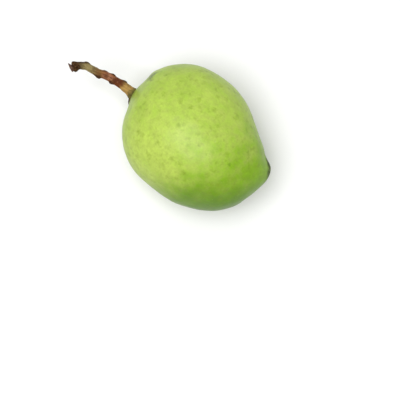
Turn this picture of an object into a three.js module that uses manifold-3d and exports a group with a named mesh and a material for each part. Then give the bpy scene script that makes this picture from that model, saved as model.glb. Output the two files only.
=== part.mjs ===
// A whole green mango with the cut end of its stalk, lying on one cheek.
//
// Millimetres, +Z up. The fruit's long axis runs along X, with the stalk at -X and the tip at +X.
// Its beak points to the +Y side, so the seam plane of the fruit is level, at z = CENTRE_HEIGHT.
// The origin is on the small flat spot that the fruit rests on, straight under its centre.

import * as THREE from "three";
import { mergeVertices } from "three/addons/utils/BufferGeometryUtils.js";
import Module from "manifold-3d";

// Driving sizes of the fruit.
const FRUIT_LENGTH = 100;
const FRUIT_WIDTH = 81.6;
const FRUIT_THICKNESS = 74;
const CHEEK_TAPER = 0.04; // share by which the cheeks thin from the middle to the tip
const REST_TRIM = 0.5; // how much the weight flattens the cheek it rests on
const CENTRE_HEIGHT = FRUIT_THICKNESS / 2 - REST_TRIM;

// Where the skin stands above or below a plain ellipsoid. `at` is the direction in the seam plane,
// in degrees from the tip towards the beak side, `rise` is in millimetres, and `spread` and `across`
// are how far it reaches along the seam and over the cheeks, in degrees.
const SKIN_FEATURES = [
  { name: "beak", at: 29.5, rise: 2.6, spread: 3.4, across: 4 },
  { name: "chin under the beak", at: 23, rise: 1.15, spread: 4, across: 6 },
  { name: "brow over the beak", at: 41, rise: 0.75, spread: 4.5, across: 30 },
  { name: "nose of the tip", at: 20.5, rise: 3.2, spread: 8, across: 13 },
  { name: "flat back", at: 58, rise: -2.8, spread: 17.5, across: 38 },
  { name: "shoulder on the back", at: 141, rise: 1.6, spread: 20, across: 38 },
  { name: "swelling beside the hollow", at: 172, rise: 0.7, spread: 4, across: 12 },
  { name: "hollow round the stalk", at: 191, rise: -4.6, spread: 14, across: 15 },
  { name: "boss under the stalk", at: 192, rise: 3.5, spread: 8, across: 8.5 },
  { name: "shoulder on the belly", at: 245, rise: 1.8, spread: 17.5, across: 38 },
  { name: "slack of the belly", at: 315, rise: -1.2, spread: 23, across: 38 },
];
const SKIN_DETAIL = 15; // subdivisions of each edge of the icosahedron that the skin starts from

// The stalk's centre line, from its root inside the fruit to its broken end, seen from above: x, y,
// and the height over the seam plane.
const STALK_LINE = [
  [-44.4, -9.9, 0],
  [-47.4, -10.5, 0],
  [-51.3, -11.1, 0.2],
  [-55.6, -12.1, 0.6],
  [-61.4, -14.0, 1.2],
  [-66.7, -16.2, 1.9],
  [-71.5, -18.9, 2.5],
  [-75.9, -20.6, 2.9],
  [-79.4, -22.3, 3.1],
  [-82.0, -24.9, 3.1],
  [-83.9, -28.9, 2.9],
];
const STALK_RADIUS_AT_FRUIT = 2.75;
const STALK_RADIUS_AT_END = 2.1;
const FOOT_FLARE = 1.0; // how much the stalk's foot widens where it meets the fruit
const FOOT_REACH = 2.4; // how quickly that widening dies away along the stalk
const KNOB_SWELL = 1.35; // the dark thickened end
const KNOB_REACH = 1.4;
const KNOB_FROM_END = 1.4;
const END_ROUNDING = 1.0;
const END_CLOSING = 0.8; // share of the end's face that the rounding takes away
const STALK_SIDES = 18;
const STALK_RINGS = 66;

// Scars of fallen side twigs: how far along the stalk from the skin, the angle round it in degrees
// (0 towards the belly, 90 up), how high it stands, and the share by which it reaches further
// towards the broken end than towards the fruit.
const SCARS = [
  { along: 5.8, round: 8, rise: 0.4, lean: 0 },
  { along: 7.3, round: 182, rise: 1.0, lean: 0.5 },
  { along: 15.5, round: 356, rise: 1.1, lean: -0.4 },
  { along: 15.6, round: 176, rise: 0.9, lean: 0.4 },
  { along: 19.2, round: 88, rise: 0.5, lean: 0 },
  { along: 18.6, round: 262, rise: 0.8, lean: 0 },
  { along: 21.6, round: 186, rise: 0.8, lean: -0.2 },
  { along: 23.8, round: 6, rise: 1.5, lean: 0.3 },
  { along: 28.4, round: 96, rise: 0.5, lean: 0 },
  { along: 27.4, round: 222, rise: 0.6, lean: 0 },
  { along: 34.1, round: 184, rise: 1.2, lean: -0.2 },
  { along: 35.4, round: 350, rise: 0.4, lean: 0 },
];
const SCAR_LENGTH = 1.0; // how far a scar's swelling reaches along and round the stalk
const SCAR_WIDTH = 1.25;

// What holds the stalk: a plug on its foot, in a socket in the fruit.
const ROOT_DEPTH = 3;
const ROOT_RADIUS = 2.1;
const ROOT_SIDES = 20;
const CLEARANCE = 0.3;

// A dried scale of the calyx that hangs from the foot along the skin, on the belly side.
const SCALE_AT = 198.6; // direction in the seam plane, as for the skin's features
const SCALE_HALF_LENGTH = 2.9;
const SCALE_HALF_WIDTH = 1.3;
const SCALE_HALF_THICKNESS = 0.75;
const SCALE_LIFT = 0.4;

// The torn side twig on the knob: a short spur.
const SPUR_ROOT = [-83.2, -29.2, 3.0];
const SPUR_TIP = [-87.9, -29.2, 3.4];
const SPUR_RADIUS = 1.25;
const SPUR_TIP_RADIUS = 0.35;
const SPUR_SIDES = 8;

const UP = new THREE.Vector3(0, 0, 1);
const HALF_TURN = 180;
const DEGREE = Math.PI / HALF_TURN;

const wasm = await Module();
wasm.setup();

/** A closed three.js geometry as a solid that can be joined and cut. */
function solidOf(geometry) {
  const bare = geometry.clone();
  bare.deleteAttribute("normal");
  bare.deleteAttribute("uv");
  const merged = mergeVertices(bare, 1e-4);
  return new wasm.Manifold(
    new wasm.Mesh({
      numProp: 3,
      vertProperties: merged.attributes.position.array,
      triVerts: new Uint32Array(merged.index.array),
    }),
  );
}

/** A joined or cut solid as a three.js geometry. */
function geometryOf(solid) {
  const mesh = solid.getMesh();
  const geometry = new THREE.BufferGeometry();
  geometry.setAttribute("position", new THREE.BufferAttribute(new Float32Array(mesh.vertProperties), 3));
  geometry.setIndex(new THREE.BufferAttribute(new Uint32Array(mesh.triVerts), 1));
  geometry.computeVertexNormals();
  return geometry;
}

/** A bell curve that is 1 at nought and falls away over `spread`. */
function bell(distance, spread) {
  return Math.exp(-0.5 * (distance / spread) ** 2);
}

/** The turn from one direction to another, both in degrees, from -180 to 180. */
function turnBetween(from, to) {
  return THREE.MathUtils.euclideanModulo(to - from + HALF_TURN, 2 * HALF_TURN) - HALF_TURN;
}

/** How far the skin is from the fruit's centre in a direction, a unit vector. */
function skinRadius(direction) {
  const { x, y, z } = direction;
  const halfThickness = (FRUIT_THICKNESS / 2) * (1 - CHEEK_TAPER * x);
  let radius = 1 / Math.hypot(x / (FRUIT_LENGTH / 2), y / (FRUIT_WIDTH / 2), z / halfThickness);
  const round = Math.atan2(y, x) / DEGREE;
  const towardsSeam = Math.hypot(x, y);
  for (const { at, rise, spread, across } of SKIN_FEATURES) {
    radius += rise * bell(turnBetween(at, round), spread) * towardsSeam ** (1 / (across * DEGREE) ** 2);
  }
  return radius;
}

/** The point of the skin at an angle in the seam plane, about the fruit's centre. */
function seamPoint(degrees) {
  const direction = new THREE.Vector3(Math.cos(degrees * DEGREE), Math.sin(degrees * DEGREE), 0);
  return direction.multiplyScalar(skinRadius(direction));
}

/** The whole fruit about its own centre, its skin moved outwards by `growth`. */
function fruitBody(growth = 0) {
  const geometry = new THREE.IcosahedronGeometry(1, SKIN_DETAIL);
  const places = geometry.attributes.position;
  const direction = new THREE.Vector3();
  for (let i = 0; i < places.count; i += 1) {
    direction.fromBufferAttribute(places, i).normalize();
    const reach = skinRadius(direction) + growth;
    places.setXYZ(i, direction.x * reach, direction.y * reach, direction.z * reach);
  }
  return solidOf(geometry);
}

/** A cylinder, or a cone, between two points. */
function rod(from, to, fromRadius, toRadius, sides) {
  const along = to.clone().sub(from);
  const upright = new THREE.Vector3(0, 1, 0);
  const geometry = new THREE.CylinderGeometry(toRadius, fromRadius, along.length(), sides);
  const turn = new THREE.Quaternion().setFromUnitVectors(upright, along.clone().normalize());
  geometry.applyQuaternion(turn);
  geometry.translate(...from.clone().addScaledVector(along, 0.5).toArray());
  return solidOf(geometry);
}

/** The stalk's radius at a distance along it from the skin and an angle round it, in degrees. */
function stalkRadius(along, round, length) {
  const share = THREE.MathUtils.clamp(along / length, 0, 1);
  let radius = THREE.MathUtils.lerp(STALK_RADIUS_AT_FRUIT, STALK_RADIUS_AT_END, share);
  radius += FOOT_FLARE * Math.exp(-Math.max(along, 0) / FOOT_REACH);
  radius += KNOB_SWELL * bell(length - KNOB_FROM_END - along, KNOB_REACH);
  for (const scar of SCARS) {
    const past = along - scar.along;
    const reach = SCAR_LENGTH * (1 + Math.sign(past) * scar.lean);
    const around = turnBetween(scar.round, round) * DEGREE * radius;
    radius += scar.rise * bell(past, reach) * bell(around, SCAR_WIDTH);
  }
  const rounding = Math.max(1 - (length - along) / END_ROUNDING, 0);
  return radius * Math.sqrt(1 - END_CLOSING * rounding ** 2);
}

/** The stalk swept along its line, from just under the skin to its broken end. */
function stalkBody(line) {
  const whole = line.getLength();
  const length = whole - ROOT_DEPTH;
  const geometry = new THREE.CylinderGeometry(1, 1, 1, STALK_SIDES, STALK_RINGS);
  const places = geometry.attributes.position;
  const start = -ROOT_DEPTH / 2;
  for (let i = 0; i < places.count; i += 1) {
    const along = THREE.MathUtils.lerp(start, length, places.getY(i) + 0.5);
    const turn = Math.atan2(places.getX(i), places.getZ(i));
    const share = Math.hypot(places.getX(i), places.getZ(i));
    const at = (along + ROOT_DEPTH) / whole;
    const tangent = line.getTangentAt(at);
    const side = new THREE.Vector3().crossVectors(UP, tangent).normalize();
    const top = new THREE.Vector3().crossVectors(tangent, side);
    const reach = share * stalkRadius(along, turn / DEGREE, length);
    const place = line
      .getPointAt(at)
      .addScaledVector(side, reach * Math.cos(turn))
      .addScaledVector(top, reach * Math.sin(turn));
    places.setXYZ(i, place.x, place.y, place.z);
  }
  return solidOf(geometry);
}

/** The dried calyx scale: a thin oval that lies along the skin. */
function driedScale() {
  const middle = seamPoint(SCALE_AT);
  const along = seamPoint(SCALE_AT + 1).sub(seamPoint(SCALE_AT - 1)).normalize();
  const outward = new THREE.Vector3().crossVectors(along, UP).normalize();
  const geometry = new THREE.SphereGeometry(1, 16, 10);
  geometry.scale(SCALE_HALF_LENGTH, SCALE_HALF_THICKNESS, SCALE_HALF_WIDTH);
  geometry.applyMatrix4(new THREE.Matrix4().makeBasis(along, outward.clone().negate(), UP));
  geometry.translate(...middle.addScaledVector(outward, SCALE_LIFT).toArray());
  return solidOf(geometry);
}

const stalkLine = new THREE.CatmullRomCurve3(
  STALK_LINE.map((place) => new THREE.Vector3(...place)),
  false,
  "catmullrom",
  0.5,
);
const rootEnd = stalkLine.getPointAt(0);
const rootWay = stalkLine.getPointAt(ROOT_DEPTH / stalkLine.getLength()).sub(rootEnd).normalize();
const aboveSkin = rootEnd.clone().addScaledVector(rootWay, ROOT_DEPTH + 1.5);
const socketEnd = rootEnd.clone().addScaledVector(rootWay, -CLEARANCE);

/** The fruit, with the stalk's socket and the flat spot that it rests on. */
function fruitSolid() {
  const socketRadius = ROOT_RADIUS + CLEARANCE;
  const socket = rod(socketEnd, aboveSkin, socketRadius, socketRadius, ROOT_SIDES);
  const underFloor = new THREE.BoxGeometry(2 * FRUIT_LENGTH, 2 * FRUIT_LENGTH, FRUIT_LENGTH);
  underFloor.translate(0, 0, -CENTRE_HEIGHT - FRUIT_LENGTH / 2);
  return fruitBody().subtract(socket).subtract(solidOf(underFloor));
}

/** The stalk, with its plug, its dried scale and the torn spur on its end. */
function stalkSolid() {
  const spur = rod(
    new THREE.Vector3(...SPUR_ROOT),
    new THREE.Vector3(...SPUR_TIP),
    SPUR_RADIUS,
    SPUR_TIP_RADIUS,
    SPUR_SIDES,
  );
  const plug = rod(rootEnd, aboveSkin, ROOT_RADIUS, ROOT_RADIUS, ROOT_SIDES);
  const outside = stalkBody(stalkLine).add(driedScale()).add(spur).subtract(fruitBody(CLEARANCE));
  return outside.add(plug);
}

const skinFinish = new THREE.MeshStandardMaterial({ color: 0xa9cb5a, roughness: 0.45, metalness: 0 });
const barkFinish = new THREE.MeshStandardMaterial({ color: 0x8b6540, roughness: 0.85, metalness: 0 });

const mango = new THREE.Group();
for (const [name, solid, finish] of [
  ["fruit", fruitSolid(), skinFinish],
  ["stalk", stalkSolid(), barkFinish],
]) {
  const mesh = new THREE.Mesh(geometryOf(solid), finish);
  mesh.name = name;
  mango.add(mesh);
}
mango.position.z = CENTRE_HEIGHT;

export default mango;
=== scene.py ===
"""A whole green mango with the broken end of its stalk, lying on one cheek in a white studio.

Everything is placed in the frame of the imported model: the fruit's long axis runs along X with its tip
at +X, its beak is on the +Y side, and it rests on a flat spot at z = 0. Shapes are worked out in
millimetres about the fruit's own centre, and turned into metres where a mesh is made.
"""

import logging
import math
from dataclasses import dataclass, field
from enum import Enum

import bmesh
import bpy
import numpy as np
from mathutils import Matrix, Vector, noise


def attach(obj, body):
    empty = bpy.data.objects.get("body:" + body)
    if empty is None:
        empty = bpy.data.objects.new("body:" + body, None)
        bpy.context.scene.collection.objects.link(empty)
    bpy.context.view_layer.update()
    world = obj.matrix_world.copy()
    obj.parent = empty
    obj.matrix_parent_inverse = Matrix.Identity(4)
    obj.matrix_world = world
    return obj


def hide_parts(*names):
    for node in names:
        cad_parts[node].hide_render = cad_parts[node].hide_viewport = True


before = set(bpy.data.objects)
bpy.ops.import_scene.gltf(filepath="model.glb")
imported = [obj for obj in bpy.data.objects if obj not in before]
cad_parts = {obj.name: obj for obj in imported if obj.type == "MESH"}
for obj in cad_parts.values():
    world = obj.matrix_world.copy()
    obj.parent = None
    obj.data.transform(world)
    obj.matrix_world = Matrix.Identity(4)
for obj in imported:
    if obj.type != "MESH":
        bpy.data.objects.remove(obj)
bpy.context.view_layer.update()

Colour = tuple[float, float, float, float]
Point = tuple[float, float, float]
Socket = bpy.types.NodeSocket

MM = 0.001
HALF_TURN = 180.0
DEGREE = math.pi / HALF_TURN
NOISE_MIDDLE = 0.5
NOISE_ROUGHNESS = 0.55
UP = np.array([0.0, 0.0, 1.0])
log = logging.getLogger("mango")


class Node(Enum):
    """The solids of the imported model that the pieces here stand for."""

    FRUIT = "fruit"
    STALK = "stalk"


class Slot(Enum):
    """The material slots."""

    SKIN = "skin"
    BARK = "bark"


# Shared arithmetic


def bell(distance: np.ndarray, spread: float) -> np.ndarray:
    """A bell curve that is 1 at nought, with its spread in the distance's own unit."""
    return np.exp(-0.5 * (distance / spread) ** 2)


def turn_between(start: float, end: np.ndarray) -> np.ndarray:
    """The shorter turn from one direction to others, all in degrees, from -180 to 180."""
    return (end - start + HALF_TURN) % (2 * HALF_TURN) - HALF_TURN


def noise_at(points: np.ndarray, grain: float, octaves: int, offset: float = 0.0) -> np.ndarray:
    """Smooth seeded noise.

    Args:
        points: Places, one to a row.
        grain: The size of the noise's lumps, in the unit of the points.
        octaves: How many times finer noise is laid over it, at half the height each time.
        offset: Shifts the noise, so that two fields of one grain differ.

    Returns:
        A value from about -1 to 1 for each point.
    """
    scaled = points / grain + offset
    total = np.zeros(len(points))
    for octave in range(octaves):
        finer = 2.0**octave
        total += [noise.noise(Vector(place) * finer) / finer for place in scaled]
    return total


# Shader graphs


class Field:
    """A number that varies over a surface: one socket of a shader, with arithmetic."""

    def __init__(self, graph: "Graph", socket: Socket) -> None:
        """Wraps an output socket of a graph."""
        self.graph = graph
        self.socket = socket

    def _math(self, operation: str, *operands: "Field | float") -> "Field":
        """The result of a Math node on these operands, in order."""
        return self.graph.field("ShaderNodeMath", {"operation": operation}, dict(enumerate(operands)))

    def __add__(self, other: "Field | float") -> "Field":
        """The sum of two values."""
        return self._math("ADD", self, other)

    __radd__ = __add__

    def __sub__(self, other: "Field | float") -> "Field":
        """This value less another."""
        return self._math("SUBTRACT", self, other)

    def __rsub__(self, other: float) -> "Field":
        """A plain number less this value."""
        return self._math("SUBTRACT", other, self)

    def __mul__(self, other: "Field | float") -> "Field":
        """The product of two values."""
        return self._math("MULTIPLY", self, other)

    __rmul__ = __mul__

    def __abs__(self) -> "Field":
        """The value without its sign."""
        return self._math("ABSOLUTE", self)

    def angle(self, across: "Field") -> "Field":
        """The direction of a point, in degrees from the axis that this value is measured along."""
        return self._math("ARCTAN2", across, self) * (1 / DEGREE)

    def step(self, start: float, end: float) -> "Field":
        """A smooth step.

        Args:
            start: Where the step leaves 0.
            end: Where it reaches 1, which may be below the start.

        Returns:
            The step's value, from 0 to 1.
        """
        return self.graph.field(
            "ShaderNodeMapRange",
            {"interpolation_type": "SMOOTHSTEP"},
            {"Value": self, "From Min": start, "From Max": end},
        )

    def window(self, start: float, full: float, fade: float, end: float) -> "Field":
        """A band that leaves 0 at the start, is 1 from full to fade, and is back at 0 at the end."""
        return self.step(start, full) * self.step(end, fade)

    def swing(self, reach: float) -> "Field":
        """A noise moved to swing about nought, which would span the reach if it ran from 0 to 1."""
        return (self - NOISE_MIDDLE) * reach


class Graph:
    """The node tree of one new material or world."""

    def __init__(self, owner: bpy.types.Material | bpy.types.World) -> None:
        """Gives a new material or world an empty node tree.

        Args:
            owner: The material or world.
        """
        owner.use_nodes = True
        self.owner = owner
        self.tree = owner.node_tree
        self.tree.nodes.clear()

    def node(self, kind: str, settings: dict | None = None, inputs: dict | None = None) -> bpy.types.Node:
        """Adds a node.

        Args:
            kind: The node's type.
            settings: Its properties, which are set first. "stops" are a ramp's places and colours.
            inputs: What its sockets hold, by name or number: a value, a socket or a Field.

        Returns:
            The new node.
        """
        made = self.tree.nodes.new(kind)
        for name, value in (settings or {}).items():
            if name == "stops":
                self._fill_ramp(made.color_ramp, value)
            else:
                setattr(made, name, value)
        for name, value in (inputs or {}).items():
            source = value.socket if isinstance(value, Field) else value
            if isinstance(source, Socket):
                self.tree.links.new(source, made.inputs[name])
            else:
                made.inputs[name].default_value = source
        return made

    def field(self, kind: str, settings: dict, inputs: dict, output: int | str = 0) -> Field:
        """Adds a node and gives one of its outputs, by name or number, as a Field."""
        return Field(self, self.node(kind, settings, inputs).outputs[output])

    @staticmethod
    def _fill_ramp(ramp: bpy.types.ColorRamp, stops: tuple[tuple[float, Colour], ...]) -> None:
        """Sets the stops of a ramp.

        Args:
            ramp: The ramp, which has two stops to begin with.
            stops: The place and colour of each stop, two or more, in order.
        """
        while len(ramp.elements) < len(stops):
            ramp.elements.new(1.0)
        for element, (place, colour) in zip(ramp.elements, stops):
            element.position = place
            element.color = colour

    def noise(self, where: Socket, grain: float, detail: float = 2.0) -> Field:
        """A noise with lumps of so many millimetres, from about 0.25 to 0.75 round a middle of 0.5."""
        inputs = {"Vector": where, "Scale": 1 / (grain * MM), "Detail": detail}
        return self.field("ShaderNodeTexNoise", {}, {**inputs, "Roughness": NOISE_ROUGHNESS})

    def dots(self, where: Socket, spacing: float) -> tuple[Field, Field]:
        """Scattered dots.

        Args:
            where: The coordinates, in metres.
            spacing: How far apart the dots are, in millimetres.

        Returns:
            The distance to the nearest dot in millimetres, and a random number of that dot's own.
        """
        made = self.node("ShaderNodeTexVoronoi", {}, {"Vector": where, "Scale": 1 / (spacing * MM)})
        parts = self.node("ShaderNodeSeparateColor", {}, {0: made.outputs["Color"]})
        return Field(self, made.outputs["Distance"]) * spacing, Field(self, parts.outputs[0])

    def mark(self, name: str) -> Field:
        """The value that a mesh's points carry under that name."""
        return self.field("ShaderNodeAttribute", {"attribute_name": name}, {}, "Fac")

    def distance(self, where: Socket, point: Point) -> Field:
        """The distance in millimetres from a point that is given in metres."""
        settings = {"operation": "DISTANCE"}
        return self.field("ShaderNodeVectorMath", settings, {0: where, 1: point}, "Value") * (1 / MM)

    def layer(self, under: Colour | Socket, over: Colour | Socket, share: Field | float) -> Socket:
        """Lays one colour over another, which shows by its share, from 0 to 1."""
        inputs = {0: share, 6: under, 7: over}
        return self.node("ShaderNodeMix", {"data_type": "RGBA"}, inputs).outputs[2]

    def tone(self, colour: Socket, value: Field) -> Socket:
        """A colour made lighter or darker, as the value is above or below 1."""
        return self.node("ShaderNodeHueSaturation", {}, {"Color": colour, "Value": value}).outputs[0]

    def relief(self, height: Field, deep: float) -> Socket:
        """A normal bumped by a height, where 1 is so many millimetres deep."""
        return self.node("ShaderNodeBump", {}, {"Distance": deep * MM, "Height": height}).outputs[0]

    def finish(self, inputs: dict) -> bpy.types.Material:
        """Ends a material's graph in a Principled shader.

        Args:
            inputs: What the shader's sockets hold, by name.

        Returns:
            The material.
        """
        shader = self.node("ShaderNodeBsdfPrincipled", {}, inputs)
        self.node("ShaderNodeOutputMaterial", {}, {"Surface": shader.outputs[0]})
        return self.owner


# The shape of the fruit


@dataclass(frozen=True)
class SkinFeature:
    """Where the skin stands above or below a plain ellipsoid.

    The place is a direction in the seam plane, in degrees from the tip towards the beak side. The
    rise is in millimetres, and the spreads along the seam and over the cheeks are in degrees.
    """

    at: float
    rise: float
    spread: float
    across: float


@dataclass(frozen=True)
class FruitForm:
    """The fruit's sizes in millimetres, and its surface about its own centre."""

    length: float = 100.0
    width: float = 81.6
    thickness: float = 74.0
    cheek_taper: float = 0.04
    rest_trim: float = 0.5
    beak: SkinFeature = SkinFeature(at=29.5, rise=2.6, spread=3.4, across=4)
    chin: SkinFeature = SkinFeature(at=23, rise=1.15, spread=4, across=6)
    brow: SkinFeature = SkinFeature(at=41, rise=0.75, spread=4.5, across=30)
    nose: SkinFeature = SkinFeature(at=20.5, rise=3.2, spread=8, across=13)
    flat_back: SkinFeature = SkinFeature(at=58, rise=-2.8, spread=17.5, across=38)
    back_shoulder: SkinFeature = SkinFeature(at=141, rise=1.6, spread=20, across=38)
    swelling: SkinFeature = SkinFeature(at=172, rise=0.7, spread=4, across=12)
    stalk_hollow: SkinFeature = SkinFeature(at=191, rise=-4.6, spread=14, across=15)
    stalk_boss: SkinFeature = SkinFeature(at=192, rise=3.5, spread=8, across=8.5)
    belly_shoulder: SkinFeature = SkinFeature(at=245, rise=1.8, spread=17.5, across=38)
    slack_belly: SkinFeature = SkinFeature(at=315, rise=-1.2, spread=23, across=38)

    @property
    def centre_height(self) -> float:
        """How high the fruit's centre is over the surface it lies on."""
        return self.thickness / 2 - self.rest_trim

    @property
    def features(self) -> tuple[SkinFeature, ...]:
        """All that stands off the plain ellipsoid."""
        return tuple(value for value in vars(self).values() if isinstance(value, SkinFeature))

    def radius(self, directions: np.ndarray) -> np.ndarray:
        """How far the skin is from the centre.

        Args:
            directions: Unit vectors, one to a row.

        Returns:
            The distance along each.
        """
        x, y, z = directions.T
        half_thickness = self.thickness / 2 * (1 - self.cheek_taper * x)
        in_seam = (2 * x / self.length) ** 2 + (2 * y / self.width) ** 2
        plain = 1 / np.sqrt(in_seam + (z / half_thickness) ** 2)
        around = np.arctan2(y, x) / DEGREE
        towards_seam = np.hypot(x, y)
        for feature in self.features:
            falloff = towards_seam ** (1 / (feature.across * DEGREE) ** 2)
            plain = plain + feature.rise * bell(turn_between(feature.at, around), feature.spread) * falloff
        return plain

    def skin_point(self, at: float, lift: float = 0.0) -> np.ndarray:
        """A point of the skin.

        Args:
            at: Its direction in the seam plane, in degrees from the tip towards the beak side.
            lift: How far its direction is turned up out of that plane, in degrees.

        Returns:
            The point, about the fruit's centre in millimetres.
        """
        turn, tilt = at * DEGREE, lift * DEGREE
        level = math.cos(tilt)
        direction = np.array([math.cos(turn) * level, math.sin(turn) * level, math.sin(tilt)])
        return direction * self.radius(direction[None])[0]

    def in_scene(self, point: np.ndarray) -> Point:
        """A point about the fruit's centre as a point of the scene, in metres."""
        return tuple(float(value) * MM for value in point + UP * self.centre_height)


# Meshes


@dataclass
class MeshPlan:
    """A mesh in the making, about the fruit's centre in millimetres."""

    vertices: np.ndarray
    faces: list[tuple[int, ...]]
    marks: dict[str, np.ndarray] = field(default_factory=dict)

    def place(self, name: str, form: FruitForm, finish: bpy.types.Material) -> bpy.types.Object:
        """Makes the object.

        Args:
            name: The piece's name.
            form: The fruit, whose centre the plan is drawn about.
            finish: The piece's material.

        Returns:
            The new object, in the scene.
        """
        mesh = bpy.data.meshes.new(name)
        mesh.from_pydata((self.vertices + UP * form.centre_height) * MM, [], self.faces)
        mesh.polygons.foreach_set("use_smooth", [True] * len(mesh.polygons))
        for mark, values in self.marks.items():
            kind, key = ("FLOAT_VECTOR", "vector") if values.ndim == 2 else ("FLOAT", "value")
            attribute = mesh.attributes.new(mark, kind, "POINT")
            attribute.data.foreach_set(key, values.ravel().astype(np.float32))
        mesh.materials.append(finish)
        mesh.update()
        made = bpy.data.objects.new(name, mesh)
        bpy.context.scene.collection.objects.link(made)
        return made


@dataclass
class Sweep:
    """A smooth line through given points that rings are laid round, in millimetres."""

    points: tuple[Point, ...]
    samples_per_span: int = 60

    def __post_init__(self) -> None:
        """Samples the line closely and measures it."""
        knots = np.array(self.points, float)
        before = 2 * knots[0] - knots[1]
        after = 2 * knots[-1] - knots[-2]
        knots = np.vstack([before, knots, after])
        share = np.linspace(0, 1, self.samples_per_span, endpoint=False)[:, None]
        spans = [self._span(*knots[i : i + 4], share) for i in range(len(knots) - 3)]
        self._line = np.vstack([*spans, knots[-2]])
        steps = np.linalg.norm(np.diff(self._line, axis=0), axis=1)
        self._travel = np.concatenate([[0.0], np.cumsum(steps)])
        self._tangent = np.gradient(self._line, self._travel, axis=0)
        self._tangent /= np.linalg.norm(self._tangent, axis=1)[:, None]

    @staticmethod
    def _span(a: np.ndarray, b: np.ndarray, c: np.ndarray, d: np.ndarray, share: np.ndarray) -> np.ndarray:
        """One span of a Catmull-Rom spline.

        Args:
            a: The knot before the span.
            b: The knot that the span starts at.
            c: The knot that it ends at.
            d: The knot after the span.
            share: How far along the span each sample is, from 0 to 1, a column.

        Returns:
            The samples, one to a row.
        """
        linear = c - a
        square = 2 * a - 5 * b + 4 * c - d
        cube = 3 * (b - c) + d - a
        return b + 0.5 * (linear * share + square * share**2 + cube * share**3)

    @property
    def length(self) -> float:
        """The line's length."""
        return float(self._travel[-1])

    def _at(self, values: np.ndarray, along: np.ndarray) -> np.ndarray:
        """Reads what goes with the line's own samples, a row for each, at distances along it."""
        return np.column_stack([np.interp(along, self._travel, column) for column in values.T])

    def rings(self, along: np.ndarray, around: np.ndarray, reach: np.ndarray) -> np.ndarray:
        """Rings of points round the line.

        Args:
            along: Where each ring is, from the start of the line.
            around: The angles round the line, in radians, 0 to the belly side and a quarter up.
            reach: How far each point stands off the line, a row for each ring.

        Returns:
            The points, by ring and by angle.
        """
        tangent = self._at(self._tangent, along)
        side = np.cross(UP, tangent)
        side /= np.linalg.norm(side, axis=1)[:, None]
        top = np.cross(tangent, side)
        across = reach * np.cos(around)
        upwards = reach * np.sin(around)
        centre = self._at(self._line, along)
        return centre[:, None] + side[:, None] * across[..., None] + top[:, None] * upwards[..., None]


def closed_tube(rings: np.ndarray) -> tuple[np.ndarray, list[tuple[int, ...]]]:
    """Skins rings of points into a closed tube with a point at each end.

    Args:
        rings: The points, by ring and by angle.

    Returns:
        The vertices, ring by ring with the two end points last, and the faces.
    """
    count, sides = rings.shape[:2]
    vertices = np.vstack([rings.reshape(-1, 3), rings[0].mean(axis=0), rings[-1].mean(axis=0)])
    first_end = count * sides
    last_end = first_end + 1
    faces = []
    for ring in range(count - 1):
        for side in range(sides):
            beside = (side + 1) % sides
            low, high = ring * sides, (ring + 1) * sides
            faces.append((low + side, low + beside, high + beside, high + side))
    for side in range(sides):
        beside = (side + 1) % sides
        faces.append((first_end, beside, side))
        faces.append((last_end, first_end - sides + side, first_end - sides + beside))
    return vertices, faces


# The finishes


@dataclass(frozen=True)
class SkinMap:
    """What the skin's colours follow: a point's place in millimetres, and noises of four grains."""

    graph: Graph
    form: FruitForm
    where: Socket
    x: Field
    y: Field
    height: Field
    blotches: Field
    patches: Field
    mottle: Field
    fine: Field

    @classmethod
    def on(cls, graph: Graph, form: FruitForm, grains: tuple[float, float, float, float]) -> "SkinMap":
        """Adds the nodes that the map is read from.

        Args:
            graph: The skin's graph.
            form: The fruit's shape.
            grains: The sizes of the lumps of the four noises, from the largest.

        Returns:
            The map. Its height is measured from the seam plane.
        """
        where = graph.node("ShaderNodeTexCoord").outputs["Object"]
        parts = graph.node("ShaderNodeSeparateXYZ", {}, {0: where})
        x, y, z = (Field(graph, parts.outputs[axis]) * (1 / MM) for axis in range(3))
        noises = (graph.noise(where, grain) for grain in grains)
        return cls(graph, form, where, x, y, z - form.centre_height, *noises)

    def distance(self, point: np.ndarray) -> Field:
        """The distance from a point about the fruit's centre, all in millimetres."""
        return self.graph.distance(self.where, self.form.in_scene(point))


@dataclass(frozen=True)
class Speckle:
    """Scattered marks of one kind, in millimetres.

    A mark is whole as far out as its core and gone at its edge, which the finest noise frays. Each
    mark draws a number from 0 to 1: at the faintest it doesn't show, and at the boldest it is whole.
    """

    spacing: float
    core: float
    edge: float
    fraying: float
    faintest: float
    boldest: float
    strength: float

    def mask(self, skin: SkinMap) -> Field:
        """Where the marks are.

        Args:
            skin: The map of the skin.

        Returns:
            The marks, from 0 to 1.
        """
        distance, draw = skin.graph.dots(skin.where, self.spacing)
        frayed = distance + skin.fine.swing(self.fraying)
        return frayed.step(self.edge, self.core) * draw.step(self.faintest, self.boldest)


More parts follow.
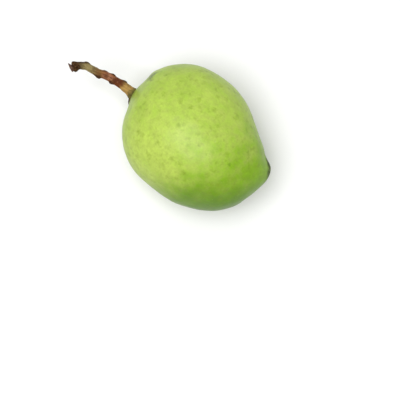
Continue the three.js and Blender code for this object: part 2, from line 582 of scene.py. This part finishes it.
@dataclass(frozen=True)
class SkinFinish:
    """Waxy green skin, yellower towards the stalk, with mottling, dots and a corky scar at the beak.

    A place on the skin is its direction in the seam plane and its lift out of it, in degrees.
    """

    sunny: Colour = (0.375, 0.485, 0.080, 1)
    leafy: Colour = (0.195, 0.355, 0.014, 1)
    # deep green, used partly as painted shade on the belly side and round the stalk's foot
    deep: Colour = (0.085, 0.190, 0.005, 1)
    freckle: Colour = (0.175, 0.255, 0.014, 1)
    # the dark collar round the stalk's foot, partly painted shade where the stalk meets the skin
    collar_and_shade: Colour = (0.11, 0.12, 0.015, 1)
    cork: Colour = (0.045, 0.062, 0.014, 1)
    dry_cork: Colour = (0.130, 0.160, 0.055, 1)
    smear: Colour = (0.115, 0.155, 0.030, 1)
    lenticel: Colour = (0.44, 0.52, 0.20, 1)
    grains: tuple[float, float, float, float] = (13.0, 6.0, 3.0, 1.2)
    spots: Speckle = Speckle(5.2, core=0.3, edge=2.5, fraying=2.5, faintest=0.1, boldest=0.8, strength=0.40)
    specks: Speckle = Speckle(3.4, core=0.2, edge=1.5, fraying=1.5, faintest=0.2, boldest=0.8, strength=0.34)
    pores: Speckle = Speckle(2.9, core=0.12, edge=0.32, fraying=0.0, faintest=0.2, boldest=0.8, strength=0.3)
    ripest_at: tuple[float, float] = (261.0, 37.0)
    smear_at: tuple[float, float] = (175.5, 20.0)
    sting_at: tuple[float, float] = (5.0, 44.0)
    scar_height: float = 2.4
    roughness: float = 0.40
    cork_roughness: float = 0.35
    refraction: float = 1.4
    gloss: float = 0.28
    wax: float = 0.06
    wax_roughness: float = 0.35
    relief_height: float = 0.22

    def _green(self, skin: SkinMap) -> Socket:
        """The skin's ground colour.

        Args:
            skin: The map of the skin.

        Returns:
            A yellowish green at the stalk, greener to the tip, and deep green on the belly side there: partly
            the skin's own green, partly painted shade.
        """
        graph, x, y = skin.graph, skin.x, skin.y
        drift = skin.blotches.swing(30) + skin.patches.swing(24)
        ripest = skin.distance(skin.form.skin_point(*self.ripest_at)).step(36, 8)
        patchy = skin.patches.swing(0.7) + skin.mottle.swing(0.35)
        greener_tip = (x + drift).step(4, 52) * 0.8 + 0.24
        colour = graph.layer(self.sunny, self.leafy, greener_tip - ripest * 0.26 + patchy)
        # the deep green on the belly side is partly the skin's own colour and partly painted shade along the
        # fruit's lower edge
        greener_belly_and_shade = (x * 0.76 - y * 0.65 + drift * 0.3).step(22, 46)
        colour = graph.layer(colour, self.deep, greener_belly_and_shade * 0.85)
        unevenness = skin.blotches.swing(0.2) + skin.mottle.swing(0.6) + skin.fine.swing(0.3)
        bloom = y.step(4, 34) * x.window(-34, -6, 18, 44)
        return graph.tone(colour, 1 + unevenness + ripest * 0.02 + bloom * 0.09)

    def _blemishes_and_foot_shade(self, skin: SkinMap, colour: Socket, foot: np.ndarray) -> Socket:
        """Adds the smear, the small dark spot and the dark collar round the stalk, which is partly painted
        shade where the stalk meets the skin.

        Args:
            skin: The map of the skin.
            colour: The colour so far.
            foot: Where the stalk leaves the fruit, about its centre.

        Returns:
            The colour with these marks.
        """
        graph = skin.graph
        from_foot = skin.distance(foot) + skin.fine.swing(3)
        # darker green and a dark collar round the stalk's foot: partly the skin's own colour, partly painted
        # shade where the stalk meets the skin
        colour = graph.layer(colour, self.deep, from_foot.step(14, 4) * 0.4)
        colour = graph.layer(colour, self.collar_and_shade, from_foot.step(5.2, 3.8) * 0.85)
        from_smear = skin.distance(skin.form.skin_point(*self.smear_at))
        smear = (from_smear + skin.patches.swing(7) + skin.mottle.swing(6)).step(6.5, 0.5)
        colour = graph.layer(colour, self.smear, smear * skin.fine.step(0.1, 0.6))
        from_sting = skin.distance(skin.form.skin_point(*self.sting_at)) + skin.fine.swing(0.8)
        return graph.layer(colour, self.cork, from_sting.step(1.5, 0.4) * 0.35)

    def _scar(self, skin: SkinMap) -> Field:
        """Where the corky scar is, which lies along the seam at the beak.

        Args:
            skin: The map of the skin.

        Returns:
            The scar, from 0 to 1.
        """
        around = skin.x.angle(skin.y) + skin.mottle.swing(10)
        off_level = abs(skin.height - self.scar_height + skin.patches.swing(4) + skin.mottle.swing(4))
        return (off_level + skin.fine.swing(3)).step(6.0, 0.6) * around.window(14, 27, 28, 40)

    def material(self, form: FruitForm, foot: np.ndarray) -> bpy.types.Material:
        """Builds the skin's material.

        Args:
            form: The fruit's shape.
            foot: Where the stalk leaves the fruit, about its centre, in millimetres.

        Returns:
            The material.
        """
        graph = Graph(bpy.data.materials.new("mango_skin"))
        skin = SkinMap.on(graph, form, self.grains)
        mottle, fine = skin.mottle, skin.fine
        colour = self._green(skin)
        colour = graph.layer(colour, self.freckle, self.spots.mask(skin) * self.spots.strength)
        colour = graph.layer(colour, self.freckle, self.specks.mask(skin) * self.specks.strength)
        pores = self.pores.mask(skin)
        colour = graph.layer(colour, self.lenticel, pores * self.pores.strength)
        colour = self._blemishes_and_foot_shade(skin, colour, foot)
        scar = self._scar(skin)
        corky = graph.layer(self.cork, self.dry_cork, (mottle * 0.6 + fine * 0.4).step(0.44, 0.58))
        colour = graph.layer(colour, corky, scar.step(0.04, 0.80) * 0.9)
        height = mottle * 0.5 + fine * 0.25 + pores * 0.25 + scar * (fine + 0.5)
        return graph.finish(
            {
                "Base Color": colour,
                "Roughness": self.roughness + fine.swing(0.15) + scar * self.cork_roughness,
                "IOR": self.refraction,
                "Specular IOR Level": self.gloss,
                "Coat Weight": self.wax - scar * self.wax,
                "Coat Roughness": self.wax_roughness,
                "Normal": graph.relief(height, self.relief_height),
            }
        )


@dataclass(frozen=True)
class BarkFinish:
    """Dry stalk bark, whose colour changes along the stalk from the fruit to the broken end."""

    olive_foot: Colour = (0.10, 0.085, 0.020, 1)
    straw: Colour = (0.34, 0.205, 0.060, 1)
    russet: Colour = (0.125, 0.034, 0.008, 1)
    chestnut: Colour = (0.26, 0.10, 0.045, 1)
    bruised: Colour = (0.065, 0.018, 0.007, 1)
    pink: Colour = (0.40, 0.20, 0.12, 1)
    ochre: Colour = (0.25, 0.128, 0.036, 1)
    olive: Colour = (0.235, 0.185, 0.075, 1)
    burnt: Colour = (0.030, 0.010, 0.003, 1)
    scorched: Colour = (0.095, 0.048, 0.014, 1)
    band_wander: float = 0.14
    streak_grain: float = 0.7
    furrow_grain: float = 1.6
    patch_grain: float = 2.6
    grit_grain: float = 0.9
    roughness: float = 0.74
    gloss: float = 0.12
    relief_height: float = 0.3

    @property
    def bands(self) -> tuple[tuple[float, Colour], ...]:
        """The colours along the stalk, each with its share of the way from the fruit to the end."""
        return (
            (0.0, self.olive_foot),
            (0.055, self.straw),
            (0.16, self.straw),
            (0.22, self.russet),
            (0.33, self.russet),
            (0.38, self.chestnut),
            (0.48, self.chestnut),
            (0.56, self.ochre),
            (0.68, self.olive),
            (0.80, self.olive),
            (0.89, self.burnt),
        )

    def material(self, length: float) -> bpy.types.Material:
        """Builds the bark's material.

        Args:
            length: The stalk's length from the skin, in millimetres.

        Returns:
            The material, which reads the marks along, scar and grain of its mesh.
        """
        graph = Graph(bpy.data.materials.new("stalk_bark"))
        along = graph.mark("along")
        scar = graph.mark("scar")
        grain = graph.node("ShaderNodeAttribute", {"attribute_name": "grain"}).outputs["Vector"]
        where = graph.node("ShaderNodeTexCoord").outputs["Object"]
        streaks = graph.noise(grain, self.streak_grain, detail=3)
        furrows = graph.noise(grain, self.furrow_grain)
        patches = graph.noise(where, self.patch_grain)
        grit = graph.noise(where, self.grit_grain)

        travel = along * (1 / length) + patches.swing(self.band_wander)
        colour = graph.node("ShaderNodeValToRGB", {"stops": self.bands}, {0: travel}).outputs[0]
        reddened = patches.step(0.46, 0.66) * along.window(7, 11, 22, 27)
        colour = graph.layer(colour, self.russet, reddened * 0.7)
        bruises = furrows.step(0.52, 0.36) * along.window(5, 9, 26, 31)
        colour = graph.layer(colour, self.bruised, bruises * 0.75)
        rubbed = (patches + grit * 0.6).step(0.74, 0.60) * along.window(10, 12.5, 20, 24)
        colour = graph.layer(colour, self.pink, rubbed * 0.55)
        colour = graph.layer(colour, self.burnt, streaks.step(0.50, 0.30) * 0.6)
        colour = graph.layer(colour, self.straw, streaks.step(0.56, 0.80) * along.step(36, 32) * 0.3)
        # darker round the scars: partly the scars' own colour, partly painted shade round the bumps they
        # raise
        colour = graph.layer(colour, self.burnt, scar.step(0.24, 0.72) * grit.step(0.20, 0.44) * 0.9)
        charred = along.step(length - 6, length - 4) * grit.step(0.45, 0.62)
        colour = graph.layer(colour, self.scorched, charred * 0.9)
        return graph.finish(
            {
                "Base Color": graph.tone(colour, 1 + grit.swing(0.9)),
                "Roughness": self.roughness + streaks.swing(0.3),
                "Specular IOR Level": self.gloss,
                "Normal": graph.relief(streaks * 0.8 + grit * 0.5, self.relief_height),
            }
        )


@dataclass(frozen=True)
class HuskFinish:
    """Withered brown tissue, as of the calyx scale and the torn spur."""

    name: str
    dark: Colour
    light: Colour
    fibre_grain: float = 0.8
    roughness: float = 0.8
    gloss: float = 0.15
    relief_height: float = 0.15

    def material(self) -> bpy.types.Material:
        """Builds the tissue's material.

        Returns:
            The material, fibrous and dull.
        """
        graph = Graph(bpy.data.materials.new(self.name))
        where = graph.node("ShaderNodeTexCoord").outputs["Object"]
        fibres = graph.noise(where, self.fibre_grain, detail=3)
        return graph.finish(
            {
                "Base Color": graph.layer(self.dark, self.light, fibres.step(0.40, 0.68)),
                "Roughness": self.roughness + fibres.swing(0.2),
                "Specular IOR Level": self.gloss,
                "Normal": graph.relief(fibres, self.relief_height),
            }
        )


# The pieces


@dataclass
class Fruit:
    """The fruit: its surface with slow dents and fine unevenness, and the flat spot it rests on."""

    form: FruitForm
    finish: SkinFinish = SkinFinish()
    subdivisions: int = 7
    dent_grain: float = 22.0
    dent_depth: float = 0.5
    lump_grain: float = 6.0
    lump_depth: float = 0.12
    lump_offset: float = 37.0
    sink: float = 0.6

    def _relief(self, points: np.ndarray) -> np.ndarray:
        """How far the real skin lies off its plain form.

        Args:
            points: Points of the plain form, one to a row.

        Returns:
            A height for each, which is never above nought.
        """
        dents = noise_at(points, self.dent_grain, octaves=2) * self.dent_depth
        lumps = noise_at(points, self.lump_grain, octaves=2, offset=self.lump_offset) * self.lump_depth
        return np.minimum(dents + lumps - self.sink * (self.dent_depth + self.lump_depth), 0.0)

    def build(self, foot: np.ndarray) -> bpy.types.Object:
        """Makes the fruit.

        Args:
            foot: Where the stalk leaves the fruit, about its centre, in millimetres.

        Returns:
            The fruit, riding on the root body.
        """
        globe = bmesh.new()
        bmesh.ops.create_icosphere(globe, subdivisions=self.subdivisions, radius=1.0)
        directions = np.array([vertex.co for vertex in globe.verts], float)
        directions /= np.linalg.norm(directions, axis=1)[:, None]
        faces = [tuple(vertex.index for vertex in face.verts) for face in globe.faces]
        globe.free()
        plain = directions * self.form.radius(directions)[:, None]
        skin = plain + directions * self._relief(plain)[:, None]
        skin[:, 2] = np.maximum(skin[:, 2], -self.form.centre_height)
        finish = self.finish.material(self.form, foot)
        made = MeshPlan(skin, faces).place("fruit_skin", self.form, finish)
        return settle(made, Node.FRUIT)


@dataclass(frozen=True)
class TwigScar:
    """The scar of a fallen side twig.

    It has its place along the stalk, the angle round it in degrees, its rise, and the share by
    which it reaches further towards the broken end than towards the fruit.
    """

    along: float
    around: float
    rise: float
    lean: float = 0.0


@dataclass
class Stalk:
    """The stalk from its root just under the skin to its dark broken end, in millimetres."""

    form: FruitForm
    finish: BarkFinish = BarkFinish()
    line: tuple[Point, ...] = (
        (-44.4, -9.9, 0),
        (-47.4, -10.5, 0),
        (-51.3, -11.1, 0.2),
        (-55.6, -12.1, 0.6),
        (-61.4, -14.0, 1.2),
        (-66.7, -16.2, 1.9),
        (-71.5, -18.9, 2.5),
        (-75.9, -20.6, 2.9),
        (-79.4, -22.3, 3.1),
        (-82.0, -24.9, 3.1),
        (-83.9, -28.9, 2.9),
    )
    root_depth: float = 3.0
    radius_at_fruit: float = 2.75
    radius_at_end: float = 2.1
    foot_flare: float = 1.0
    foot_reach: float = 2.4
    foot_lobes: int = 5
    foot_lobing: float = 0.3
    knob_swell: float = 1.35
    knob_reach: float = 1.4
    knob_from_end: float = 1.4
    end_rounding: float = 1.0
    end_closing: float = 0.8
    scars: tuple[TwigScar, ...] = (
        TwigScar(5.8, 8, 0.4),
        TwigScar(7.3, 182, 1.0, 0.5),
        TwigScar(15.5, 356, 1.1, -0.4),
        TwigScar(15.6, 176, 0.9, 0.4),
        TwigScar(19.2, 88, 0.5),
        TwigScar(18.6, 262, 0.8),
        TwigScar(21.6, 186, 0.8, -0.2),
        TwigScar(23.8, 6, 1.5, 0.3),
        TwigScar(28.4, 96, 0.5),
        TwigScar(27.4, 222, 0.6),
        TwigScar(34.1, 184, 1.2, -0.2),
        TwigScar(35.4, 350, 0.4),
    )
    scar_length: float = 1.0
    scar_width: float = 1.25
    crater_share: float = 0.45
    crater_depth: float = 0.35
    # how far the scars' dark stain spreads: partly their own colour, partly painted shade round the bumps
    stain_and_shade_share: float = 1.55
    tear_start: float = 32.6
    tear_around: float = 150.0
    tear_width: float = 0.75
    tear_stain: float = 0.8
    grain_stretch: float = 0.16
    ridge_grain: float = 0.9
    ridge_height: float = 0.24
    grit_grain: float = 0.8
    grit_height: float = 0.3
    grit_offset: float = 11.0
    smoothest_share: float = 0.25
    rough_from_end: float = 6.0
    rough_within: float = 3.0
    rings: int = 400
    sides: int = 112
    end_rings: int = 8

    def __post_init__(self) -> None:
        """Lays out the stalk's centre line."""
        self.sweep = Sweep(self.line)

    @property
    def length(self) -> float:
        """The stalk's length from the skin."""
        return self.sweep.length - self.root_depth

    @property
    def foot(self) -> np.ndarray:
        """Where the stalk leaves the fruit."""
        return np.array(self.line[1], float)

    def _scars(
        self, along: np.ndarray, around: np.ndarray, size: float = 1.0
    ) -> tuple[np.ndarray, np.ndarray]:
        """The swellings of the scars.

        Args:
            along: Distances from the skin.
            around: Angles round the stalk, in degrees.
            size: The size of each mark against the swelling's own.

        Returns:
            How far the scars raise each point, and how near each is to the middle of one, from 0 to 1.
        """
        rise = np.zeros(np.broadcast(along, around).shape)
        mask = np.zeros_like(rise)
        for scar in self.scars:
            past = along - scar.along
            reach = self.scar_length * (1 + np.sign(past) * scar.lean)
            beside = turn_between(scar.around, around) * DEGREE * self.radius_at_fruit
            mound = bell(past / reach, size) * bell(beside / self.scar_width, size)
            rise = rise + scar.rise * mound
            mask = np.maximum(mask, mound * min(scar.rise, 1.0))
        beside = turn_between(self.tear_around, around) * DEGREE * self.radius_at_fruit
        tear = bell(beside / self.tear_width, size) * np.clip(along - self.tear_start, 0, 1)
        return rise, np.maximum(mask, tear * self.tear_stain)

    def _radius(self, along: np.ndarray, around: np.ndarray, grain: np.ndarray) -> np.ndarray:
        """The stalk's radius.

        Args:
            along: Distances from the skin, a column.
            around: Angles round the stalk in degrees, a row.
            grain: Long-drawn coordinates for the ridges, by ring and angle.

        Returns:
            The radius by ring and angle.
        """
        from_end = self.length - along
        share = np.clip(along / self.length, 0, 1)
        radius = self.radius_at_fruit + (self.radius_at_end - self.radius_at_fruit) * share
        lobes = 1 + self.foot_lobing * np.cos(self.foot_lobes * around * DEGREE)
        radius = radius + self.foot_flare * np.exp(-np.maximum(along, 0) / self.foot_reach) * lobes
        radius = radius + self.knob_swell * bell(from_end - self.knob_from_end, self.knob_reach)
        rise, _ = self._scars(along, around)
        crater, _ = self._scars(along, around, self.crater_share)
        places = grain.reshape(-1, 3)
        ridges = noise_at(places, self.ridge_grain, octaves=2).reshape(radius.shape) * self.ridge_height
        near_end = np.clip((self.rough_from_end - from_end) / self.rough_within, 0, 1)
        roughness = self.grit_height * (self.smoothest_share + (1 - self.smoothest_share) * near_end)
        grit = noise_at(places, self.grit_grain, octaves=2, offset=self.grit_offset)
        rounding = np.maximum(1 - from_end / self.end_rounding, 0)
        bark = ridges + grit.reshape(radius.shape) * roughness
        whole = radius + rise - self.crater_depth * crater + bark
        return whole * np.sqrt(1 - self.end_closing * rounding**2)

    def build(self) -> bpy.types.Object:
        """Makes the stalk.

        Returns:
            The stalk, riding on the root body.
        """
        shaft = np.linspace(-self.root_depth / 2, self.length, self.rings)
        closing = np.linspace(1, 0, self.end_rings + 1)[1:-1]
        along = np.concatenate([shaft, np.full(len(closing), self.length)])[:, None]
        shrink = np.concatenate([np.ones(len(shaft)), closing])[:, None]
        angles = np.linspace(0, 2 * math.pi, self.sides, endpoint=False)
        around = angles[None, :] / DEGREE
        stretched = np.broadcast_to(along * self.grain_stretch, (len(along), self.sides))
        across = np.cos(angles) * self.radius_at_fruit * shrink
        upwards = np.sin(angles) * self.radius_at_fruit * shrink
        grain = np.stack([stretched, across, upwards], axis=-1)
        reach = self._radius(along, around, grain) * shrink
        rings = self.sweep.rings(along[:, 0] + self.root_depth, angles, reach)
        vertices, faces = closed_tube(rings)
        # the stain spreads past the scars' swellings: partly their own colour, partly painted shade round the
        # bumps
        _, mask = self._scars(along, around, self.stain_and_shade_share)
        marks = {
            "along": np.append(np.broadcast_to(along, mask.shape).ravel(), along[[0, -1]]),
            "scar": np.append(mask.ravel(), [0.0] * (len(vertices) - mask.size)),
            "grain": np.vstack([grain.reshape(-1, 3), grain[[0, -1]].mean(axis=1)]) * MM,
        }
        plan = MeshPlan(vertices, faces, marks)
        made = plan.place("stalk_bark", self.form, self.finish.material(self.length))
        return settle(made, Node.STALK)


@dataclass
class CalyxScale:
    """The dried scale of the calyx that hangs from the stalk's foot along the skin."""

    form: FruitForm
    finish: HuskFinish = HuskFinish("dried_calyx", (0.034, 0.021, 0.008, 1), (0.145, 0.100, 0.040, 1))
    at: float = 198.6
    half_length: float = 2.6
    half_width: float = 1.3
    foot_thickness: float = 0.78
    tip_thickness: float = 0.30
    clearance: float = -0.4
    end_share: float = 0.98
    waves: float = 5.0
    waviness: float = 0.25
    cupping: float = 0.2
    curl_grain: float = 0.8
    curl_height: float = 0.08
    rings: int = 48
    sides: int = 32

    def build(self) -> bpy.types.Object:
        """Makes the scale.

        Returns:
            The scale, riding on the root body.
        """
        middle = self.form.skin_point(self.at)
        along = self.form.skin_point(self.at + 1) - self.form.skin_point(self.at - 1)
        along /= np.linalg.norm(along)
        outward = np.cross(along, UP)
        furthest = self.end_share / 2
        stations = np.sin(np.linspace(-furthest, furthest, self.rings) * math.pi)[:, None]
        angles = np.linspace(0, 2 * math.pi, self.sides, endpoint=False)
        fullness = np.sqrt(1 - stations**2)
        share = (stations + 1) / 2
        thickness = (self.foot_thickness + (self.tip_thickness - self.foot_thickness) * share) * fullness
        waved = 1 + self.waviness * np.sin(self.waves * stations) * np.cos(angles)
        beside = self.half_width * fullness * waved * np.cos(angles)
        bend = self.cupping * np.cos(angles) ** 2 * fullness
        away = self.clearance + thickness * (1 + np.sin(angles)) - bend
        rings = (
            middle
            + along * (stations * self.half_length)[..., None]
            + UP * beside[..., None]
            + outward * away[..., None]
        )
        vertices, faces = closed_tube(rings)
        curl = noise_at(vertices, self.curl_grain, octaves=2) * self.curl_height
        vertices = vertices + outward * curl[:, None]
        made = MeshPlan(vertices, faces).place("calyx_scale", self.form, self.finish.material())
        return settle(made, Node.STALK)


@dataclass
class TornSpur:
    """The thin torn end of a side twig on the stalk's knob."""

    form: FruitForm
    finish: HuskFinish = HuskFinish("torn_fibre", (0.06, 0.025, 0.02, 1), (0.24, 0.15, 0.10, 1))
    line: tuple[Point, ...] = (
        (-82.0, -28.6, 3.0),
        (-84.3, -29.15, 3.1),
        (-86.0, -29.25, 3.2),
        (-87.5, -29.2, 3.4),
    )
    root_radius: float = 1.9
    tip_radius: float = 0.15
    taper: float = 1.2
    flattening: float = 0.35
    creases: int = 3
    crease_depth: float = 0.18
    crease_twist: float = 4.0
    fray_stretch: float = 0.45
    fray_grain: float = 0.9
    fray_height: float = 0.55
    rings: int = 90
    sides: int = 40

    def build(self) -> bpy.types.Object:
        """Makes the spur.

        Returns:
            The spur, riding on the root body.
        """
        sweep = Sweep(self.line)
        along = np.linspace(0, sweep.length, self.rings)
        angles = np.linspace(0, 2 * math.pi, self.sides, endpoint=False)
        share = (along / sweep.length)[:, None]
        radius = self.root_radius + (self.tip_radius - self.root_radius) * share**self.taper
        creased = 1 + self.crease_depth * np.cos(self.creases * angles + self.crease_twist * share)
        flattened = 1 - self.flattening * np.sin(angles) ** 2 * np.sqrt(share)
        vertices, faces = closed_tube(sweep.rings(along, angles, radius * creased * flattened))
        stretched = vertices * np.array([self.fray_stretch, 1.0, 1.0])
        vertices[:, 2] += noise_at(stretched, self.fray_grain, octaves=3) * self.fray_height
        made = MeshPlan(vertices, faces).place("torn_spur", self.form, self.finish.material())
        return settle(made, Node.STALK)


def settle(piece: bpy.types.Object, node: Node) -> bpy.types.Object:
    """Ties a piece to the model's one body and hides the solid that it stands for.

    Args:
        piece: The piece.
        node: The solid that it replaces.

    Returns:
        The same piece.
    """
    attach(piece, "root")
    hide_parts(node.value)
    log.info("%s: %d faces, for %s", piece.name, len(piece.data.polygons), node.value)
    return piece


# The studio


@dataclass(frozen=True)
class Softbox:
    """A square area light. Its direction is to the right of, up from and towards the camera."""

    name: str
    direction: Point
    distance: float
    size: float
    power: float


@dataclass
class Studio:
    """The white floor, the soft light and the camera, in metres and degrees."""

    form: FruitForm
    azimuth: float = 49.5
    elevation: float = 83.0
    lens: float = 90.0
    distance: float = 0.625
    picture_pixels: int = 400
    fruit_centre_pixel: tuple[float, float] = (194.0, 139.0)
    sky_high: float = 0.72
    sky_low: float = 0.10
    sky_colour: Colour = (1, 1, 1, 1)
    floor_size: float = 6.0
    floor_colour: Colour = (0.80, 0.80, 0.80, 1)
    floor_roughness: float = 0.9
    softboxes: tuple[Softbox, ...] = (
        Softbox("key_light", direction=(-0.16, -0.06, 1.0), distance=1.2, size=0.9, power=17.5),
    )

    @property
    def _axes(self) -> tuple[Vector, Vector, Vector]:
        """The camera's own axes.

        Returns:
            Its directions to the right, up and backwards.
        """
        turn, tilt = self.azimuth * DEGREE, self.elevation * DEGREE
        back = Vector((math.sin(turn) * math.cos(tilt), -math.cos(turn) * math.cos(tilt), math.sin(tilt)))
        right = Vector((math.cos(turn), math.sin(turn), 0))
        return right, back.cross(right), back

    def _add_camera(self, centre: Vector) -> None:
        """Aims a camera so that the fruit's centre falls on its pixel of the picture.

        Args:
            centre: The fruit's centre, in metres.
        """
        data = bpy.data.cameras.new("photo_view")
        data.lens = self.lens
        right, up, back = self._axes
        pixel = data.sensor_width / self.lens * self.distance / self.picture_pixels
        column, row = self.fruit_centre_pixel
        middle = self.picture_pixels / 2
        target = centre - right * (column - middle) * pixel - up * (middle - row) * pixel
        camera = bpy.data.objects.new("photo_view", data)
        turned = Matrix((right, up, back)).transposed().to_4x4()
        camera.matrix_world = Matrix.Translation(target + back * self.distance) @ turned
        bpy.context.scene.collection.objects.link(camera)
        bpy.context.scene.camera = camera

    def _add_softbox(self, box: Softbox, centre: Vector) -> None:
        """Adds one light, aimed at the fruit.

        Args:
            box: The light's size, place and power.
            centre: The fruit's centre, in metres.
        """
        data = bpy.data.lights.new(box.name, "AREA")
        data.size = box.size
        data.energy = box.power
        towards = sum((axis * share for axis, share in zip(self._axes, box.direction)), Vector())
        towards.normalize()
        light = bpy.data.objects.new(box.name, data)
        light.location = centre + towards * box.distance
        light.rotation_euler = towards.to_track_quat("Z", "Y").to_euler()
        bpy.context.scene.collection.objects.link(light)

    def _add_floor(self) -> None:
        """Lays the white floor."""
        half = self.floor_size / 2
        corners = [(-half, -half, 0), (half, -half, 0), (half, half, 0), (-half, half, 0)]
        mesh = bpy.data.meshes.new("studio_floor")
        mesh.from_pydata(corners, [], [(0, 1, 2, 3)])
        graph = Graph(bpy.data.materials.new("studio_white"))
        inputs = {"Base Color": self.floor_colour, "Roughness": self.floor_roughness}
        mesh.materials.append(graph.finish(inputs))
        floor = bpy.data.objects.new("studio_floor", mesh)
        bpy.context.scene.collection.objects.link(floor)

    def _add_sky(self) -> None:
        """Surrounds the set with soft light, brighter from the top of the picture."""
        graph = Graph(bpy.data.worlds.new("studio_sky"))
        direction = graph.node("ShaderNodeTexCoord").outputs["Generated"]
        settings = {"operation": "DOT_PRODUCT"}
        towards_top = graph.field("ShaderNodeVectorMath", settings, {0: direction, 1: self._axes[1]}, "Value")
        levels = {"From Min": -1, "To Min": self.sky_low, "To Max": self.sky_high}
        strength = graph.field("ShaderNodeMapRange", {}, {"Value": towards_top, **levels})
        glow = graph.node("ShaderNodeBackground", {}, {"Color": self.sky_colour, "Strength": strength})
        graph.node("ShaderNodeOutputWorld", {}, {"Surface": glow.outputs[0]})
        bpy.context.scene.world = graph.owner

    def build(self) -> None:
        """Sets up the whole studio."""
        centre = Vector(self.form.in_scene(np.zeros(3)))
        self._add_camera(centre)
        self._add_floor()
        for box in self.softboxes:
            self._add_softbox(box, centre)
        self._add_sky()
        bpy.context.scene.view_settings.view_transform = "Standard"


def main() -> None:
    """Builds the mango and the studio round it."""
    logging.basicConfig(level=logging.INFO, format="%(name)s: %(message)s")
    form = FruitForm()
    Studio(form).build()
    stalk = Stalk(form)
    stalk.build()
    Fruit(form).build(stalk.foot)
    CalyxScale(form).build()
    TornSpur(form).build()


if __name__ == "__main__":
    main()
